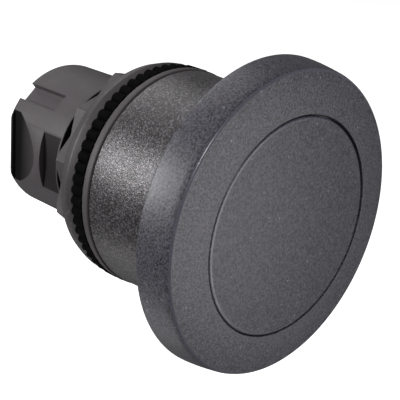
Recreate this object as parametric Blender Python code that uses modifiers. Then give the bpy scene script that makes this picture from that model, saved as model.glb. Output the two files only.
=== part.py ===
"""Panel-mount mushroom push button: a momentary operator head for a 22.3 mm panel hole.

The button's axis lies along Y. The head faces -Y, the threaded barrel runs through the
panel towards +Y. The origin is on the axis, in the plane where the gasket meets the panel.
Lengths are in metres. A "station" is a distance along the axis from the panel plane,
negative in front of the panel and positive behind it.
"""
import math

import bmesh
import bpy
from mathutils import Matrix, Vector

MM = 0.001

# ---------------------------------------------------------------- driving dimensions
GAP = 0.3 * MM                      # clearance between neighbouring pieces
WALL = 1.2 * MM                     # least plastic wall
SIDES = 48                          # facets around a large turned piece
SMALL_SIDES = 32                    # facets around a small turned piece

PRESS_TRAVEL = 4.0 * MM             # how far the head goes in
STOP_CLEARANCE = 0.5 * MM           # left between the head's hollow and the bezel when pressed

HEAD_DIAMETER = 40.0 * MM
HEAD_DEPTH = 5.6 * MM               # face to the rear edge of the rim
HEAD_FLARE = 0.7 * MM               # how much the rim widens towards the rear
HEAD_CROWN = 0.8 * MM               # how far the annulus falls back towards the rim
HEAD_EDGE = 0.35 * MM               # rounding of the head's edges
HEAD_RIM_WALL = 2.0 * MM
HEAD_PLATE = 1.8 * MM               # plate between the disc's recess and the hollow
DISC_BORDER = 6.3 * MM              # annulus around the insert disc
DISC_THICKNESS = 1.1 * MM

SCREW_HEAD_RADIUS = 3.2 * MM
SCREW_HEAD_HEIGHT = 1.4 * MM
SCREW_SHANK_RADIUS = 1.5 * MM
SCREW_SHANK_LENGTH = 9.0 * MM
SCREW_SLOT_WIDTH = 0.8 * MM
WASHER_THICKNESS = 0.5 * MM

BEZEL_TAPER = 0.75 * MM             # how much the skirt narrows towards the head
BEZEL_LENGTH = 12.3 * MM
BEZEL_WALL = 1.4 * MM
BEZEL_FRONT_WALL = 1.7 * MM

COLLAR_PROUD = 0.15 * MM            # the housing's flange beyond the bezel's rear edge
COLLAR_THICKNESS = 0.9 * MM

GASKET_THICKNESS = 1.9 * MM
GASKET_PROUD = 0.1 * MM             # the lobes' tips beyond the collar
GASKET_LOBE_DEPTH = 0.6 * MM
GASKET_LOBES = 63

SEAL_THICKNESS = 1.5 * MM
RETAINER_THICKNESS = 1.0 * MM
O_RING_SECTION = 0.5 * MM           # radius of the ring's round section
O_RING_SETBACK = 0.8 * MM           # from the collar to the ring's groove
BUSH_WALL = 0.5 * MM
BUSH_LENGTH = 5.4 * MM
SPIGOT_WALL = 3.0 * MM              # wall of the housing's front spigot

THREAD_RADIUS = 10.95 * MM          # fits the standard 22.3 mm panel hole
UNDERCUT_WIDTH = 1.8 * MM           # groove between the thread and the plain barrel
UNDERCUT_DEPTH = 1.75 * MM
BARREL_FRONT = 8.8 * MM             # station where the plain barrel starts
BARREL_REAR = 20.75 * MM            # station of the barrel's rear end
BARREL_STEP = 0.55 * MM             # the barrel's radius is this much under the thread's
BARREL_WALL = 2.2 * MM              # wall around the open bay at the rear
THREAD_WALL = 2.05 * MM             # wall around the chamber that holds the spring
SHELF_FRONT = 6.3 * MM              # station of the inner shelf that backs the spring
SHELF_THICKNESS = 1.8 * MM

LATCH_SLOT_SETBACK = 0.3 * MM       # from the barrel's front edge
LATCH_SLOT_LENGTH = 3.7 * MM
LATCH_SLOT_DEPTH = 0.85 * MM
LATCH_LAND = 1.0 * MM               # between the slot and the ramp
LATCH_RAMP_DEPTH = 1.4 * MM
LATCH_RAMP_FLAT = 1.4 * MM          # level floor between the ramp's foot and its wall
REAR_LIP = 0.35 * MM                # from the ramp's wall to the barrel's rear end
REAR_LIP_DEPTH = 1.0 * MM           # how far the lip is cut back from the barrel's radius
KEYWAY_ANGLE = math.radians(133.0)  # angles turn from +X towards +Z
KEYWAY_WIDTH = 2.7 * MM
KEYWAY_DEPTH = 1.1 * MM
WASHER_GROOVE_ANGLE = math.radians(-90.0)
WASHER_GROOVE_WIDTH = 2.8 * MM
WASHER_GROOVE_DEPTH = 1.0 * MM

NUT_FLANGE_TAPER = 0.5 * MM
NUT_FLANGE_THICKNESS = 2.5 * MM
NUT_POINT_SETBACK = 1.0 * MM        # the body's points inside the flange's edge
NUT_BODY_THICKNESS = 2.5 * MM
NUT_CHAMFER = 0.5 * MM
NUT_FIRST_POINT = math.radians(138.0)
NUT_POINT_STEP = math.radians(30.0) # two hexagons crossed at this angle make twelve points
THRUST_WASHER_WIDTH = 1.7 * MM
THRUST_WASHER_THICKNESS = 0.8 * MM

NECK_CLEARANCE = 0.7 * MM           # the head's neck in the spring chamber
SPRING_SPACE = 2.9 * MM             # ring left for the spring around the plunger
SHOULDER_STEP = 0.7 * MM
PLUNGER_FLANGE_SETBACK = 1.6 * MM   # from the housing's front to the plunger's flange
PLUNGER_FLANGE_THICKNESS = 1.5 * MM
BUMP_THICKNESS = 0.8 * MM
CLIP_THICKNESS = 0.8 * MM
CLIP_REACH = 1.9 * MM               # the clip's edge beyond the shaft
CLIP_GROOVE_DEPTH = 0.9 * MM
SHAFT_OVERHANG = 2.4 * MM           # shaft behind the clip's groove
PUSHER_CLEARANCE = 1.8 * MM         # free ring around the pusher in the bay
PUSHER_LENGTH = 3.6 * MM
PUSHER_SLOT = 1.6 * MM
TAIL_STEP = 2.5 * MM
TAIL_LENGTH = 2.3 * MM

SPRING_WIRE_RADIUS = 0.4 * MM
SPRING_TURNS = 5
SPRING_POINTS_PER_TURN = 14

# ---------------------------------------------------------------- worked-out sizes
BARREL_RADIUS = THREAD_RADIUS - BARREL_STEP
BAY_RADIUS = BARREL_RADIUS - BARREL_WALL
CHAMBER_RADIUS = THREAD_RADIUS - THREAD_WALL
THREAD_REAR = BARREL_FRONT - UNDERCUT_WIDTH
BOSS_RADIUS = CHAMBER_RADIUS - NECK_CLEARANCE
SHOULDER_RADIUS = CHAMBER_RADIUS - SPRING_SPACE
SHAFT_RADIUS = SHOULDER_RADIUS - SHOULDER_STEP

BUSH_INNER = BOSS_RADIUS + GAP
BUSH_OUTER = BUSH_INNER + BUSH_WALL
FRONT_BORE = BUSH_OUTER + GAP
SPIGOT_OUTER = FRONT_BORE + SPIGOT_WALL
BEZEL_INNER = SPIGOT_OUTER + GAP
BEZEL_FRONT_RADIUS = BEZEL_INNER + BEZEL_WALL
BEZEL_REAR_RADIUS = BEZEL_FRONT_RADIUS + BEZEL_TAPER
BEZEL_BORE = BOSS_RADIUS + 2 * GAP
COLLAR_RADIUS = BEZEL_REAR_RADIUS + COLLAR_PROUD
GASKET_TIP_RADIUS = COLLAR_RADIUS + GASKET_PROUD

COLLAR_REAR = -(GASKET_THICKNESS + GAP)
COLLAR_FRONT = COLLAR_REAR - COLLAR_THICKNESS
BEZEL_REAR = COLLAR_FRONT - GAP
BEZEL_FRONT = BEZEL_REAR - BEZEL_LENGTH
SEAL_FRONT = BEZEL_FRONT + BEZEL_FRONT_WALL + GAP
RETAINER_FRONT = SEAL_FRONT + SEAL_THICKNESS + GAP
SPIGOT_FRONT = RETAINER_FRONT + RETAINER_THICKNESS + GAP
O_RING_GROOVE_REAR = COLLAR_FRONT - O_RING_SETBACK
O_RING_GROOVE_FRONT = O_RING_GROOVE_REAR - 2 * (O_RING_SECTION + GAP)
O_RING_GROOVE_RADIUS = SPIGOT_OUTER - 2 * O_RING_SECTION - GAP

HOLLOW_FLOOR = BEZEL_FRONT - PRESS_TRAVEL - STOP_CLEARANCE
RECESS_FLOOR = HOLLOW_FLOOR - HEAD_PLATE
HEAD_FRONT = RECESS_FLOOR - GAP - DISC_THICKNESS
HEAD_REAR = HEAD_FRONT + HEAD_DEPTH
HEAD_RADIUS = HEAD_DIAMETER / 2
DISC_RADIUS = HEAD_RADIUS - DISC_BORDER
RECESS_RADIUS = DISC_RADIUS + GAP

SCREW_HEAD_FRONT = RECESS_FLOOR + GAP / 2
SCREW_HEAD_REAR = SCREW_HEAD_FRONT + SCREW_HEAD_HEIGHT
SCREW_HOLE_RADIUS = SCREW_SHANK_RADIUS + GAP
SCREW_TIP = SCREW_HEAD_REAR + SCREW_SHANK_LENGTH
WASHER_FRONT = SCREW_HEAD_REAR + GAP
WASHER_REAR = WASHER_FRONT + WASHER_THICKNESS
COUNTERBORE_FLOOR = WASHER_REAR + GAP
NECK_BORE_FRONT = COUNTERBORE_FLOOR + WALL
PLUNGER_FRONT = NECK_BORE_FRONT + GAP

FLANGE_FRONT = SPIGOT_FRONT + PLUNGER_FLANGE_SETBACK
FLANGE_REAR = FLANGE_FRONT + PLUNGER_FLANGE_THICKNESS
BOSS_REAR = FLANGE_FRONT - GAP
SHELF_REAR = SHELF_FRONT + SHELF_THICKNESS
BUMP_REAR = SHELF_FRONT - GAP
BUMP_FRONT = BUMP_REAR - BUMP_THICKNESS
SHOULDER_REAR = BUMP_FRONT - GAP - PRESS_TRAVEL
CLIP_FRONT = SHELF_REAR + GAP
CLIP_REAR = CLIP_FRONT + CLIP_THICKNESS
CLIP_RADIUS = SHAFT_RADIUS + CLIP_REACH
GROOVE_RADIUS = SHAFT_RADIUS - CLIP_GROOVE_DEPTH
SHAFT_REAR = CLIP_REAR + GAP + SHAFT_OVERHANG
TAIL_RADIUS = SHAFT_RADIUS - TAIL_STEP
TAIL_REAR = SHAFT_REAR + TAIL_LENGTH
PUSHER_FRONT = SHAFT_REAR + GAP
PUSHER_REAR = PUSHER_FRONT + PUSHER_LENGTH
PUSHER_RADIUS = BAY_RADIUS - PUSHER_CLEARANCE

LATCH_SLOT_FRONT = BARREL_FRONT + LATCH_SLOT_SETBACK
LATCH_SLOT_REAR = LATCH_SLOT_FRONT + LATCH_SLOT_LENGTH
LATCH_RAMP_FRONT = LATCH_SLOT_REAR + LATCH_LAND
LATCH_RAMP_REAR = BARREL_REAR - REAR_LIP
KEYWAY_FRONT = LATCH_SLOT_REAR

NUT_FLANGE_RADIUS = COLLAR_RADIUS
NUT_POINT_RADIUS = NUT_FLANGE_RADIUS - NUT_POINT_SETBACK
NUT_FRONT = GAP
NUT_FLANGE_REAR = NUT_FRONT + NUT_FLANGE_THICKNESS
NUT_REAR = NUT_FLANGE_REAR + NUT_BODY_THICKNESS
NUT_BORE = THREAD_RADIUS + GAP
THRUST_INNER = THREAD_RADIUS + GAP
THRUST_OUTER = THRUST_INNER + THRUST_WASHER_WIDTH
THRUST_FRONT = NUT_FRONT + GAP
THRUST_REAR = THRUST_FRONT + THRUST_WASHER_THICKNESS
THRUST_POCKET_REAR = THRUST_REAR + GAP
THRUST_POCKET_RADIUS = THRUST_OUTER + GAP
TAB_WIDTH = WASHER_GROOVE_WIDTH - 2 * GAP
TAB_INNER = THREAD_RADIUS - WASHER_GROOVE_DEPTH + GAP

SPRING_RADIUS = (SHOULDER_RADIUS + CHAMBER_RADIUS) / 2
SPRING_FRONT = FLANGE_REAR + GAP + SPRING_WIRE_RADIUS
SPRING_REAR = SHELF_FRONT - GAP - SPRING_WIRE_RADIUS


# ---------------------------------------------------------------- scene and helpers
def clear_scene():
    """Remove every object that is already there."""
    for old in list(bpy.data.objects):
        bpy.data.objects.remove(old, do_unlink=True)


def new_collection(name):
    """A collection linked to the scene."""
    collection = bpy.data.collections.new(name)
    bpy.context.scene.collection.children.link(collection)
    return collection


def new_empty(name, parent=None):
    """An empty on the button's axis."""
    empty = bpy.data.objects.new(name, None)
    empty.empty_display_size = 0.01
    PARTS.objects.link(empty)
    empty.parent = parent
    return empty


clear_scene()
PARTS = new_collection("industrial_push_button")
CUTTERS = new_collection("cutters")
# Local Z of this empty runs along the button's axis, towards the rear (world +Y).
BUTTON_AXIS = new_empty("button_axis")
BUTTON_AXIS.rotation_euler = (math.radians(-90), 0, 0)
PRESS_AXIS = new_empty("press_axis", BUTTON_AXIS)
THREAD_AXIS = new_empty("thread_axis", BUTTON_AXIS)


def plain_material(name, colour, roughness, metallic=0.0):
    """A Principled material."""
    material = bpy.data.materials.new(name)
    material.use_nodes = True
    shader = material.node_tree.nodes["Principled BSDF"]
    shader.inputs["Base Color"].default_value = (*colour, 1.0)
    shader.inputs["Roughness"].default_value = roughness
    shader.inputs["Metallic"].default_value = metallic
    return material


def place(name, mesh, parent, material=None):
    """Put a mesh in the parts collection, or among the cutters if it has no material."""
    obj = bpy.data.objects.new(name, mesh)
    obj.parent = parent
    if material is None:
        CUTTERS.objects.link(obj)
        obj.hide_render = True
        obj.display_type = "WIRE"
    else:
        PARTS.objects.link(obj)
        mesh.materials.append(material)
    return obj


def wound(outline):
    """The outline with its outer side running from the high stations to the low ones."""
    area = 0.0
    for (r0, s0), (r1, s1) in zip(outline, outline[1:] + outline[:1]):
        area += r0 * s1 - r1 * s0
    return outline if area < 0 else outline[::-1]


def turned(name, outline, parent, material=None, sides=SIDES):
    """A turned piece; outline is (radius, station) pairs, open only where it meets the axis."""
    points = wound(outline)
    count = len(points)
    on_axis = [i for i in range(count) if points[i][0] == 0]
    if on_axis:
        # start at one end of the axis, so that the open side is the one along it
        start = next(i for i in on_axis if points[i - 1][0] == 0)
        points = points[start:] + points[:start]
    edges = [(i, i + 1) for i in range(count - 1)]
    if not on_axis:
        edges.append((count - 1, 0))
    mesh = bpy.data.meshes.new(name)
    mesh.from_pydata([(r, 0, s) for r, s in points], edges, [])
    obj = place(name, mesh, parent, material)
    screw = obj.modifiers.new("Turn", "SCREW")
    screw.axis = "Z"
    screw.angle = math.tau
    screw.steps = sides
    screw.render_steps = sides
    screw.use_merge_vertices = True
    screw.merge_threshold = 0.00001
    screw.use_smooth_shade = False
    return obj


def arc(centre_radius, centre_station, radius, start, end, steps):
    """Points along a circular arc in the (radius, station) plane; angles in degrees."""
    points = []
    for i in range(steps + 1):
        angle = math.radians(start + (end - start) * i / steps)
        points.append((centre_radius + radius * math.cos(angle),
                       centre_station + radius * math.sin(angle)))
    return points


def block(name, low, high, parent, turn=0.0):
    """A box between two corners, turned about the axis."""
    (x1, y1, z1), (x2, y2, z2) = low, high
    return prism(name, [(x1, z1), (x2, z1), (x2, z2), (x1, z2)], y1, y2, parent, turn)


def prism(name, profile, start, end, parent, turn=0.0):
    """A (radius, station) profile drawn out along the tangent, turned about the axis."""
    shape = bmesh.new()
    cap = shape.faces.new([shape.verts.new((r, start, s)) for r, s in profile])
    drawn = bmesh.ops.extrude_face_region(shape, geom=[cap])["geom"]
    far_side = [item for item in drawn if isinstance(item, bmesh.types.BMVert)]
    bmesh.ops.translate(shape, verts=far_side, vec=(0, end - start, 0))
    bmesh.ops.recalc_face_normals(shape, faces=shape.faces)
    # the empty's local Y points down, so an angle that turns from +X to +Z is negative here
    bmesh.ops.rotate(shape, verts=shape.verts, matrix=Matrix.Rotation(-turn, 3, "Z"))
    mesh = bpy.data.meshes.new(name)
    shape.to_mesh(mesh)
    shape.free()
    return place(name, mesh, parent)


def boolean(target, tool, operation):
    """Cut target with tool, or join tool to it."""
    modifier = target.modifiers.new(tool.name, "BOOLEAN")
    modifier.operation = operation
    modifier.object = tool
    modifier.solver = "EXACT"


# ---------------------------------------------------------------- the head and what moves with it
def make_head(material):
    """The mushroom: a crowned annulus, a flared rim, a hollow underside and a central neck."""
    front_rim = HEAD_RADIUS - HEAD_FLARE
    flare_front = HEAD_FRONT + HEAD_CROWN + HEAD_EDGE
    flare_rear = HEAD_REAR - HEAD_EDGE
    flare_steps = 4
    flare = []
    for i in range(flare_steps + 1):
        t = i / flare_steps
        flare.append((HEAD_RADIUS - HEAD_FLARE * (1 - t) ** 1.5,
                      flare_front + (flare_rear - flare_front) * t))
    inner_rim = HEAD_RADIUS - HEAD_RIM_WALL
    outline = [(RECESS_RADIUS, RECESS_FLOOR), (RECESS_RADIUS, HEAD_FRONT)]
    outline += arc(front_rim - HEAD_EDGE, HEAD_FRONT + HEAD_CROWN + HEAD_EDGE, HEAD_EDGE, -80, -20, 2)
    outline += flare
    outline += arc(HEAD_RADIUS - HEAD_EDGE, flare_rear, HEAD_EDGE, 30, 90, 2)
    outline += [(inner_rim, HEAD_REAR), (inner_rim - HEAD_EDGE, HOLLOW_FLOOR + HEAD_EDGE)]
    outline += [(inner_rim - 2 * HEAD_EDGE, HOLLOW_FLOOR), (BOSS_RADIUS, HOLLOW_FLOOR)]
    outline += [(BOSS_RADIUS, BOSS_REAR), (SHAFT_RADIUS + GAP, BOSS_REAR)]
    outline += [(SHAFT_RADIUS + GAP, NECK_BORE_FRONT), (SCREW_HOLE_RADIUS, NECK_BORE_FRONT)]
    outline += [(SCREW_HOLE_RADIUS, COUNTERBORE_FLOOR), (SCREW_HEAD_RADIUS + GAP, COUNTERBORE_FLOOR)]
    outline += [(SCREW_HEAD_RADIUS + GAP, RECESS_FLOOR)]
    return turned("mushroom_head", outline, PRESS_AXIS, material)


def make_disc(material):
    """The insert disc that closes the head's face."""
    rear = HEAD_FRONT + DISC_THICKNESS
    outline = [(0, HEAD_FRONT), (DISC_RADIUS, HEAD_FRONT), (DISC_RADIUS, rear), (0, rear)]
    return turned("head_disc", outline, PRESS_AXIS, material)


def make_head_screw(material):
    """The screw under the disc that holds the head on the plunger."""
    outline = [(0, SCREW_HEAD_FRONT), (SCREW_HEAD_RADIUS, SCREW_HEAD_FRONT)]
    outline += [(SCREW_HEAD_RADIUS, SCREW_HEAD_REAR), (SCREW_SHANK_RADIUS, SCREW_HEAD_REAR)]
    outline += [(SCREW_SHANK_RADIUS, SCREW_TIP), (0, SCREW_TIP)]
    screw = turned("head_screw", outline, PRESS_AXIS, material, sides=24)
    half_slot = SCREW_SLOT_WIDTH / 2
    reach = SCREW_HEAD_RADIUS + MM
    low = (-reach, -half_slot, SCREW_HEAD_FRONT - MM)
    high = (reach, half_slot, SCREW_HEAD_FRONT + SCREW_HEAD_HEIGHT / 2)
    boolean(screw, block("cut_screw_slot", low, high, PRESS_AXIS), "DIFFERENCE")
    return screw


def ring(name, inner, outer, front, rear, parent, material, sides=SIDES):
    """A plain ring of rectangular section."""
    outline = [(outer, rear), (outer, front), (inner, front), (inner, rear)]
    return turned(name, outline, parent, material, sides)


def make_screw_washer(material):
    """The washer under the head screw."""
    return ring("screw_washer", SCREW_HOLE_RADIUS, SCREW_HEAD_RADIUS, WASHER_FRONT, WASHER_REAR,
                PRESS_AXIS, material, 24)


def make_plunger(material):
    """The shaft from the head's neck to the pusher, with the flange that the spring pushes."""
    hole_end = SCREW_TIP + GAP
    outline = [(0, hole_end), (SCREW_HOLE_RADIUS, hole_end), (SCREW_HOLE_RADIUS, PLUNGER_FRONT)]
    outline += [(SHAFT_RADIUS, PLUNGER_FRONT), (SHAFT_RADIUS, FLANGE_FRONT)]
    outline += [(BOSS_RADIUS, FLANGE_FRONT), (BOSS_RADIUS, FLANGE_REAR)]
    outline += [(SHOULDER_RADIUS, FLANGE_REAR), (SHOULDER_RADIUS, SHOULDER_REAR)]
    outline += [(SHAFT_RADIUS, SHOULDER_REAR), (SHAFT_RADIUS, CLIP_FRONT - GAP)]
    outline += [(GROOVE_RADIUS, CLIP_FRONT - GAP), (GROOVE_RADIUS, CLIP_REAR + GAP)]
    outline += [(SHAFT_RADIUS, CLIP_REAR + GAP), (SHAFT_RADIUS, SHAFT_REAR)]
    outline += [(TAIL_RADIUS, SHAFT_REAR), (TAIL_RADIUS, TAIL_REAR), (0, TAIL_REAR)]
    return turned("plunger", outline, PRESS_AXIS, material, SMALL_SIDES)


def make_clip(material):
    """The open ring in the shaft's groove that stops the plunger against the shelf."""
    inner = GROOVE_RADIUS + GAP
    clip = ring("retaining_clip", inner, CLIP_RADIUS, CLIP_FRONT, CLIP_REAR,
                PRESS_AXIS, material, SMALL_SIDES)
    half_mouth = inner * 0.75
    low = (0, -half_mouth, CLIP_FRONT - MM)
    high = (CLIP_RADIUS + MM, half_mouth, CLIP_REAR + MM)
    boolean(clip, block("cut_clip_mouth", low, high, PRESS_AXIS), "DIFFERENCE")
    return clip


def make_pusher(material):
    """The cap on the plunger's tail, with crossed slots for the contact block's tongues."""
    socket_rear = TAIL_REAR + GAP
    outline = [(0, socket_rear), (TAIL_RADIUS + GAP, socket_rear), (TAIL_RADIUS + GAP, PUSHER_FRONT)]
    outline += [(PUSHER_RADIUS, PUSHER_FRONT), (PUSHER_RADIUS, PUSHER_REAR), (0, PUSHER_REAR)]
    pusher = turned("rear_pusher", outline, PRESS_AXIS, material, SMALL_SIDES)
    slot_floor = socket_rear + WALL / 2
    for index, turn in enumerate((0.0, math.pi / 2, math.pi, -math.pi / 2)):
        low = (TAIL_RADIUS + GAP + WALL, -PUSHER_SLOT / 2, slot_floor - WALL)
        high = (PUSHER_RADIUS + MM, PUSHER_SLOT / 2, PUSHER_REAR + MM)
        boolean(pusher, block(f"cut_pusher_{index}", low, high, PRESS_AXIS, turn), "DIFFERENCE")
    return pusher


# ---------------------------------------------------------------- what stays on the panel
def make_bezel(material):
    """The conical skirt between the head and the panel, with the bore that the neck slides in."""
    taper_steps = 4
    outline = []
    for i in range(taper_steps + 1):
        t = i / taper_steps
        outline.append((BEZEL_REAR_RADIUS - BEZEL_TAPER * t ** 1.5, BEZEL_REAR - BEZEL_LENGTH * t))
    outline[-1] = (BEZEL_FRONT_RADIUS, BEZEL_FRONT + HEAD_EDGE)
    outline += [(BEZEL_FRONT_RADIUS - HEAD_EDGE, BEZEL_FRONT), (BEZEL_BORE, BEZEL_FRONT)]
    outline += [(BEZEL_BORE, BEZEL_FRONT + BEZEL_FRONT_WALL)]
    outline += [(BEZEL_INNER, BEZEL_FRONT + BEZEL_FRONT_WALL), (BEZEL_INNER, BEZEL_REAR)]
    return turned("bezel", outline, BUTTON_AXIS, material)


def make_wiper_seal(material):
    """The rubber ring behind the bezel's front wall, with a lip towards the neck."""
    rear = SEAL_FRONT + SEAL_THICKNESS
    lip = BOSS_RADIUS + GAP
    outline = [(SPIGOT_OUTER, rear), (SPIGOT_OUTER, SEAL_FRONT), (lip + WALL, SEAL_FRONT)]
    outline += [(lip, SEAL_FRONT + SEAL_THICKNESS / 3), (lip, rear)]
    return turned("wiper_seal", outline, BUTTON_AXIS, material)


def make_seal_retainer(material):
    """The ring that clamps the wiper seal."""
    return ring("seal_retainer", FRONT_BORE, SPIGOT_OUTER, RETAINER_FRONT,
                RETAINER_FRONT + RETAINER_THICKNESS, BUTTON_AXIS, material)


def make_o_ring(material):
    """The ring that seals the bezel on the housing's spigot."""
    middle = (O_RING_GROOVE_FRONT + O_RING_GROOVE_REAR) / 2
    outline = arc(O_RING_GROOVE_RADIUS + GAP + O_RING_SECTION, middle, O_RING_SECTION, 0, 300, 5)
    return turned("bezel_o_ring", outline, BUTTON_AXIS, material)


def make_bush(material):
    """The sleeve in the housing's front bore that guides the head's neck."""
    front = SPIGOT_FRONT + GAP
    return ring("guide_bush", BUSH_INNER, BUSH_OUTER, front, front + BUSH_LENGTH, BUTTON_AXIS, material)


def make_housing(material):
    """The body: front spigot, collar, threaded barrel, inner shelf and the rear bay."""
    undercut = THREAD_RADIUS - UNDERCUT_DEPTH
    bush_seat = SPIGOT_FRONT + GAP + BUSH_LENGTH + GAP
    outline = [(BARREL_RADIUS - HEAD_EDGE, BARREL_REAR), (BARREL_RADIUS, BARREL_REAR - HEAD_EDGE)]
    outline += [(BARREL_RADIUS, BARREL_FRONT), (undercut, BARREL_FRONT)]
    outline += [(undercut, THREAD_REAR), (THREAD_RADIUS, THREAD_REAR), (THREAD_RADIUS, COLLAR_REAR)]
    outline += [(COLLAR_RADIUS, COLLAR_REAR), (COLLAR_RADIUS, COLLAR_FRONT)]
    outline += [(SPIGOT_OUTER, COLLAR_FRONT), (SPIGOT_OUTER, O_RING_GROOVE_REAR)]
    outline += [(O_RING_GROOVE_RADIUS, O_RING_GROOVE_REAR), (O_RING_GROOVE_RADIUS, O_RING_GROOVE_FRONT)]
    outline += [(SPIGOT_OUTER, O_RING_GROOVE_FRONT), (SPIGOT_OUTER, SPIGOT_FRONT), (FRONT_BORE, SPIGOT_FRONT)]
    outline += [(FRONT_BORE, bush_seat), (CHAMBER_RADIUS, bush_seat), (CHAMBER_RADIUS, SHELF_FRONT)]
    outline += [(SHAFT_RADIUS + GAP, SHELF_FRONT), (SHAFT_RADIUS + GAP, SHELF_REAR)]
    outline += [(BAY_RADIUS, SHELF_REAR), (BAY_RADIUS, BARREL_REAR)]
    housing = turned("barrel_housing", outline, BUTTON_AXIS, material)

    reach = BARREL_RADIUS + 2 * MM
    for side, turn in (("left", math.pi), ("right", 0.0)):
        floor = BARREL_RADIUS - LATCH_SLOT_DEPTH
        low = (floor, -reach, LATCH_SLOT_FRONT)
        high = (reach, reach, LATCH_SLOT_REAR)
        boolean(housing, block(f"cut_latch_{side}", low, high, BUTTON_AXIS, turn), "DIFFERENCE")
        floor = BARREL_RADIUS - LATCH_RAMP_DEPTH
        lip = BARREL_RADIUS - REAR_LIP_DEPTH
        profile = [(BARREL_RADIUS, LATCH_RAMP_FRONT), (floor, LATCH_RAMP_REAR - LATCH_RAMP_FLAT)]
        profile += [(floor, LATCH_RAMP_REAR), (lip, LATCH_RAMP_REAR), (lip, BARREL_REAR + MM)]
        profile += [(reach, BARREL_REAR + MM), (reach, LATCH_RAMP_FRONT)]
        ramp = prism(f"cut_ramp_{side}", profile, -reach, reach, BUTTON_AXIS, turn)
        boolean(housing, ramp, "DIFFERENCE")

    low = (BARREL_RADIUS - KEYWAY_DEPTH, -KEYWAY_WIDTH / 2, KEYWAY_FRONT)
    high = (reach, KEYWAY_WIDTH / 2, BARREL_REAR + MM)
    boolean(housing, block("cut_keyway", low, high, BUTTON_AXIS, KEYWAY_ANGLE), "DIFFERENCE")

    low = (THREAD_RADIUS - WASHER_GROOVE_DEPTH, -WASHER_GROOVE_WIDTH / 2, COLLAR_REAR)
    high = (reach, WASHER_GROOVE_WIDTH / 2, BARREL_REAR + MM)
    groove = block("cut_washer_groove", low, high, BUTTON_AXIS, WASHER_GROOVE_ANGLE)
    boolean(housing, groove, "DIFFERENCE")
    return housing


def make_gasket(material):
    """The panel gasket, a flat rubber ring with rounded lobes around its edge."""
    points_per_lobe = 2
    curve = bpy.data.curves.new("panel_gasket", "CURVE")
    curve.dimensions = "2D"
    curve.fill_mode = "BOTH"
    curve.extrude = GASKET_THICKNESS / 2
    outer = curve.splines.new("POLY")
    outer.use_cyclic_u = True
    outer.points.add(GASKET_LOBES * points_per_lobe - 1)
    for i, point in enumerate(outer.points):
        angle = math.tau * i / len(outer.points)
        bulge = abs(math.cos(GASKET_LOBES * angle / 2))
        radius = GASKET_TIP_RADIUS - GASKET_LOBE_DEPTH * (1 - bulge)
        point.co = (radius * math.cos(angle), radius * math.sin(angle), 0, 1)
    inner = curve.splines.new("POLY")
    inner.use_cyclic_u = True
    inner.points.add(SIDES - 1)
    for i, point in enumerate(inner.points):
        angle = math.tau * i / SIDES
        radius = THREAD_RADIUS + GAP
        point.co = (radius * math.cos(angle), radius * math.sin(angle), 0, 1)
    rough = bpy.data.objects.new("gasket_curve", curve)
    return curve_to_mesh("panel_gasket", rough, BUTTON_AXIS, material, -GASKET_THICKNESS / 2)


def curve_to_mesh(name, rough, parent, material, station=0.0):
    """Replace a curve object by a mesh object with its caps welded."""
    CUTTERS.objects.link(rough)
    bpy.context.view_layer.update()
    mesh = bpy.data.meshes.new_from_object(rough.evaluated_get(bpy.context.evaluated_depsgraph_get()))
    bpy.data.objects.remove(rough)
    mesh.name = name
    shape = bmesh.new()
    shape.from_mesh(mesh)
    bmesh.ops.remove_doubles(shape, verts=shape.verts, dist=0.000002)
    bmesh.ops.recalc_face_normals(shape, faces=shape.faces)
    bmesh.ops.translate(shape, verts=shape.verts, vec=(0, 0, station))
    shape.to_mesh(mesh)
    shape.free()
    return place(name, mesh, parent, material)


def make_bump_washer(material):
    """The soft ring that the plunger's shoulder meets at the end of its travel."""
    return ring("bump_washer", SHAFT_RADIUS + GAP, SHOULDER_RADIUS, BUMP_FRONT, BUMP_REAR,
                BUTTON_AXIS, material, SMALL_SIDES)


def make_spring(material):
    """The return spring, a coil between the plunger's flange and the shelf."""
    curve = bpy.data.curves.new("return_spring", "CURVE")
    curve.dimensions = "3D"
    curve.bevel_depth = SPRING_WIRE_RADIUS
    curve.bevel_resolution = 2
    curve.use_fill_caps = True
    coil = curve.splines.new("POLY")
    count = SPRING_TURNS * SPRING_POINTS_PER_TURN
    coil.points.add(count)
    for i, point in enumerate(coil.points):
        angle = math.tau * i / SPRING_POINTS_PER_TURN
        # the first and last turn lie closed and flat, the turns between them carry the pitch
        turn = i / SPRING_POINTS_PER_TURN
        rise = min(max((turn - 0.5) / (SPRING_TURNS - 1), 0.0), 1.0)
        station = SPRING_FRONT + (SPRING_REAR - SPRING_FRONT) * rise
        point.co = (SPRING_RADIUS * math.cos(angle), SPRING_RADIUS * math.sin(angle), station, 1)
    rough = bpy.data.objects.new("spring_curve", curve)
    return curve_to_mesh("return_spring", rough, BUTTON_AXIS, material)


# ---------------------------------------------------------------- the nut and its keyed washer
def hexagon_prism(name, front, rear, first_point):
    """A hexagonal prism with one of its points at an angle about the axis."""
    mesh = bpy.data.meshes.new(name)
    shape = bmesh.new()
    bmesh.ops.create_cone(shape, cap_ends=True, segments=6, radius1=NUT_POINT_RADIUS,
                          radius2=NUT_POINT_RADIUS, depth=rear - front,
                          matrix=Matrix.Translation((0, 0, (front + rear) / 2)))
    bmesh.ops.rotate(shape, verts=shape.verts, matrix=Matrix.Rotation(-first_point, 3, "Z"))
    shape.to_mesh(mesh)
    shape.free()
    return place(name, mesh, THREAD_AXIS)


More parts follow.
